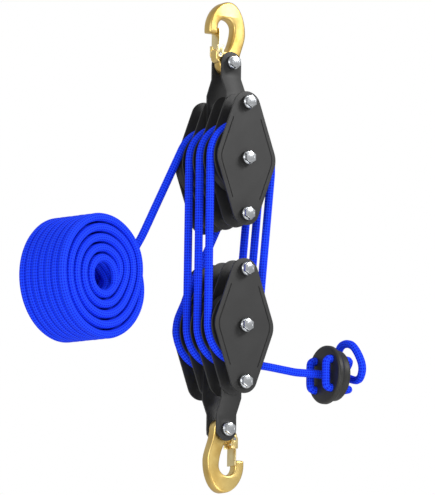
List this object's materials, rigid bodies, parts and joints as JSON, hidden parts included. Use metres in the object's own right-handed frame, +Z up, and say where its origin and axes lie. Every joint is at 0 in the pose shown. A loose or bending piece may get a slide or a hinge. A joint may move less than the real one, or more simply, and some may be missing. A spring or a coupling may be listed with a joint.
{
  "type": "block and tackle",
  "caption": "Hanging block and tackle: two hooked blocks of grooved sheaves with a braided rope reeved between them, its coil and a stopper disc.",
  "frame": {"origin": "the upper hook's saddle, the inside top of its bowl, where the object hangs", "axes": "+Z up, +Y along the sheave axes away from the bolt heads, +X to the right of the bolt heads' side"},
  "size_m": [0.4384, 0.1309, 0.5802],
  "materials": {
    "black_paint": "satin black powder coat",
    "black_nylon": "moulded black nylon",
    "bright_steel": "bright zinc plate",
    "bearing_steel": "ground bearing steel",
    "yellow_zinc": "yellow zinc plate",
    "pale_zinc": "pale yellow zinc plate",
    "spring_steel": "spring steel",
    "blue_rope": "blue braided rope"
  },
  "bodies": {
    "upper_hook": {"upper_hook": "yellow_zinc", "upper_latch_pin": "bright_steel", "upper_latch_spring": "spring_steel"},
    "upper_latch": {"upper_latch": "pale_zinc"},
    "upper_block": {"upper_plate_1": "black_paint", "upper_plate_2": "black_paint", "upper_plate_3": "black_paint", "upper_plate_4": "black_paint", "upper_plate_5": "black_paint", "upper_bearing_1": "bearing_steel", "upper_bearing_2": "bearing_steel", "upper_bearing_3": "bearing_steel", "upper_bearing_4": "bearing_steel", "upper_strap_front": "black_paint", "upper_strap_back": "black_paint", "upper_hook_bolt": "bright_steel", "upper_hook_bolt_nut": "bright_steel", "upper_strap_bolt": "bright_steel", "upper_strap_bolt_nut": "bright_steel", "upper_axle_bolt": "bright_steel", "upper_axle_bolt_nut": "bright_steel", "upper_tie_bolt": "bright_steel", "upper_tie_bolt_nut": "bright_steel", "reeved_rope": "blue_rope", "haul_line": "blue_rope", "rope_coil": "blue_rope"},
    "lower_block": {"lower_plate_1": "black_paint", "lower_plate_2": "black_paint", "lower_plate_3": "black_paint", "lower_plate_4": "black_paint", "lower_plate_5": "black_paint", "lower_bearing_1": "bearing_steel", "lower_bearing_2": "bearing_steel", "lower_bearing_3": "bearing_steel", "lower_bearing_4": "bearing_steel", "lower_strap_front": "black_paint", "lower_strap_back": "black_paint", "lower_hook_bolt": "bright_steel", "lower_hook_bolt_nut": "bright_steel", "lower_strap_bolt": "bright_steel", "lower_strap_bolt_nut": "bright_steel", "lower_axle_bolt": "bright_steel", "lower_axle_bolt_nut": "bright_steel", "lower_tie_bolt": "bright_steel", "lower_tie_bolt_nut": "bright_steel", "stopper_line": "blue_rope", "stopper_disc": "black_nylon"},
    "lower_hook": {"lower_hook": "yellow_zinc", "lower_latch_pin": "bright_steel", "lower_latch_spring": "spring_steel"},
    "lower_latch": {"lower_latch": "pale_zinc"},
    "upper_sheave_1": {"upper_sheave_1": "black_nylon"},
    "upper_sheave_2": {"upper_sheave_2": "black_nylon"},
    "upper_sheave_3": {"upper_sheave_3": "black_nylon"},
    "upper_sheave_4": {"upper_sheave_4": "black_nylon"},
    "lower_sheave_1": {"lower_sheave_1": "black_nylon"},
    "lower_sheave_2": {"lower_sheave_2": "black_nylon"},
    "lower_sheave_3": {"lower_sheave_3": "black_nylon"},
    "lower_sheave_4": {"lower_sheave_4": "black_nylon"}
  },
  "joints": [
    {"name": "upper_block_swing", "type": "hinge", "parent": "upper_hook", "child": "upper_block", "pos_m": [0, 0, -0.053], "axis": [0, 1, 0], "range_deg": [-75, 75]},
    {"name": "upper_latch_hinge", "type": "hinge", "parent": "upper_hook", "child": "upper_latch", "pos_m": [-0.0135, 0, -0.043], "axis": [0, 1, 0], "range_deg": [0, 30], "stiffness_Nm_per_rad": 0.04, "springref_deg": -22.92},
    {"name": "block_hoist", "type": "slide", "parent": "upper_block", "child": "lower_block", "axis": [0, 0, 1], "range_m": [0, 0.03], "deforming": ["reeved_rope"]},
    {"name": "lower_hook_swing", "type": "hinge", "parent": "lower_block", "child": "lower_hook", "pos_m": [0, 0, -0.4858], "axis": [0, 1, 0], "range_deg": [-75, 75]},
    {"name": "lower_latch_hinge", "type": "hinge", "parent": "lower_hook", "child": "lower_latch", "pos_m": [0.0135, 0, -0.4958], "axis": [0, 1, 0], "range_deg": [0, 30], "stiffness_Nm_per_rad": 0.04, "springref_deg": -22.92},
    {"name": "upper_sheave_1_spin", "type": "hinge", "parent": "upper_block", "child": "upper_sheave_1", "pos_m": [0, -0.03495, -0.171], "axis": [0, 1, 0], "range_deg": [0, 43]},
    {"name": "upper_sheave_2_spin", "type": "hinge", "parent": "upper_block", "child": "upper_sheave_2", "pos_m": [0, -0.01165, -0.171], "axis": [0, 1, 0], "range_deg": [0, 125]},
    {"name": "upper_sheave_3_spin", "type": "hinge", "parent": "upper_block", "child": "upper_sheave_3", "pos_m": [0, 0.01165, -0.171], "axis": [0, 1, 0], "range_deg": [0, 207]},
    {"name": "upper_sheave_4_spin", "type": "hinge", "parent": "upper_block", "child": "upper_sheave_4", "pos_m": [0, 0.03495, -0.171], "axis": [0, 1, 0], "range_deg": [-289, 0]},
    {"name": "lower_sheave_1_spin", "type": "hinge", "parent": "lower_block", "child": "lower_sheave_1", "pos_m": [0, -0.03495, -0.3678], "axis": [0, 1, 0], "continuous": true},
    {"name": "lower_sheave_2_spin", "type": "hinge", "parent": "lower_block", "child": "lower_sheave_2", "pos_m": [0, -0.01165, -0.3678], "axis": [0, 1, 0], "range_deg": [0, 84]},
    {"name": "lower_sheave_3_spin", "type": "hinge", "parent": "lower_block", "child": "lower_sheave_3", "pos_m": [0, 0.01165, -0.3678], "axis": [0, 1, 0], "range_deg": [0, 166]},
    {"name": "lower_sheave_4_spin", "type": "hinge", "parent": "lower_block", "child": "lower_sheave_4", "pos_m": [0, 0.03495, -0.3678], "axis": [0, 1, 0], "range_deg": [0, 248]}
  ],
  "couplings": [
    {"joint": "upper_sheave_1_spin", "follows": "block_hoist", "rad_per_m": 23.866},
    {"joint": "upper_sheave_2_spin", "follows": "block_hoist", "rad_per_m": 71.599},
    {"joint": "upper_sheave_3_spin", "follows": "block_hoist", "rad_per_m": 119.33},
    {"joint": "upper_sheave_4_spin", "follows": "block_hoist", "rad_per_m": -167.06},
    {"joint": "lower_sheave_2_spin", "follows": "block_hoist", "rad_per_m": 47.733},
    {"joint": "lower_sheave_3_spin", "follows": "block_hoist", "rad_per_m": 95.465},
    {"joint": "lower_sheave_4_spin", "follows": "block_hoist", "rad_per_m": 143.2}
  ]
}
